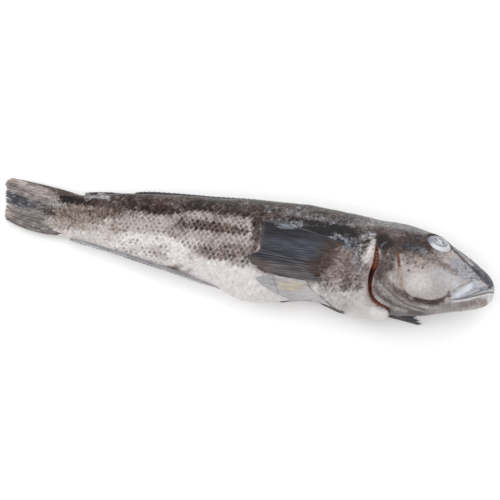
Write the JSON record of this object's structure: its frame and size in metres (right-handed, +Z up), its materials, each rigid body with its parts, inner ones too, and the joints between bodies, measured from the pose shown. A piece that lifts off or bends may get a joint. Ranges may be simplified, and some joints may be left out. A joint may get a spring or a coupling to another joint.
{
  "type": "whole blue cod",
  "caption": "Whole raw fish lying on its side: spindle body, blunt head with lips, eye and gill opening, folded dorsal and anal fins, paired fins and a square-cut tail.",
  "frame": {"origin": "on the table under the middle of the fish's bounding box", "axes": "+X from tail to snout, +Y from belly to back, +Z up, out of the right flank"},
  "size_m": [0.3982, 0.0876, 0.0649],
  "materials": {
    "skin": "wet fish skin, satin to glossy, dark brown-grey back and pale pinkish-white belly",
    "tail_fin": "brownish-grey fin skin over fine rays, slate centre, worn tan tips",
    "dark_fin": "slate blue-black fin skin over fine rays",
    "pale_fin": "translucent grey fin skin",
    "eye": "clouded eye, pale lavender-white with grey rings",
    "gills": "dark brown-red gill tissue, wet"
  },
  "bodies": {
    "root": {"body": "skin", "caudal_fin": "tail_fin", "dorsal_fin": "tail_fin", "anal_fin": "pale_fin", "pectoral_fin_right": "dark_fin", "pectoral_fin_left": "dark_fin", "pelvic_fin_right": "pale_fin", "eye_right": "eye", "gills_right": "gills", "pelvic_fin_left": "pale_fin", "eye_left": "eye", "gills_left": "gills"}
  },
  "joints": []
}
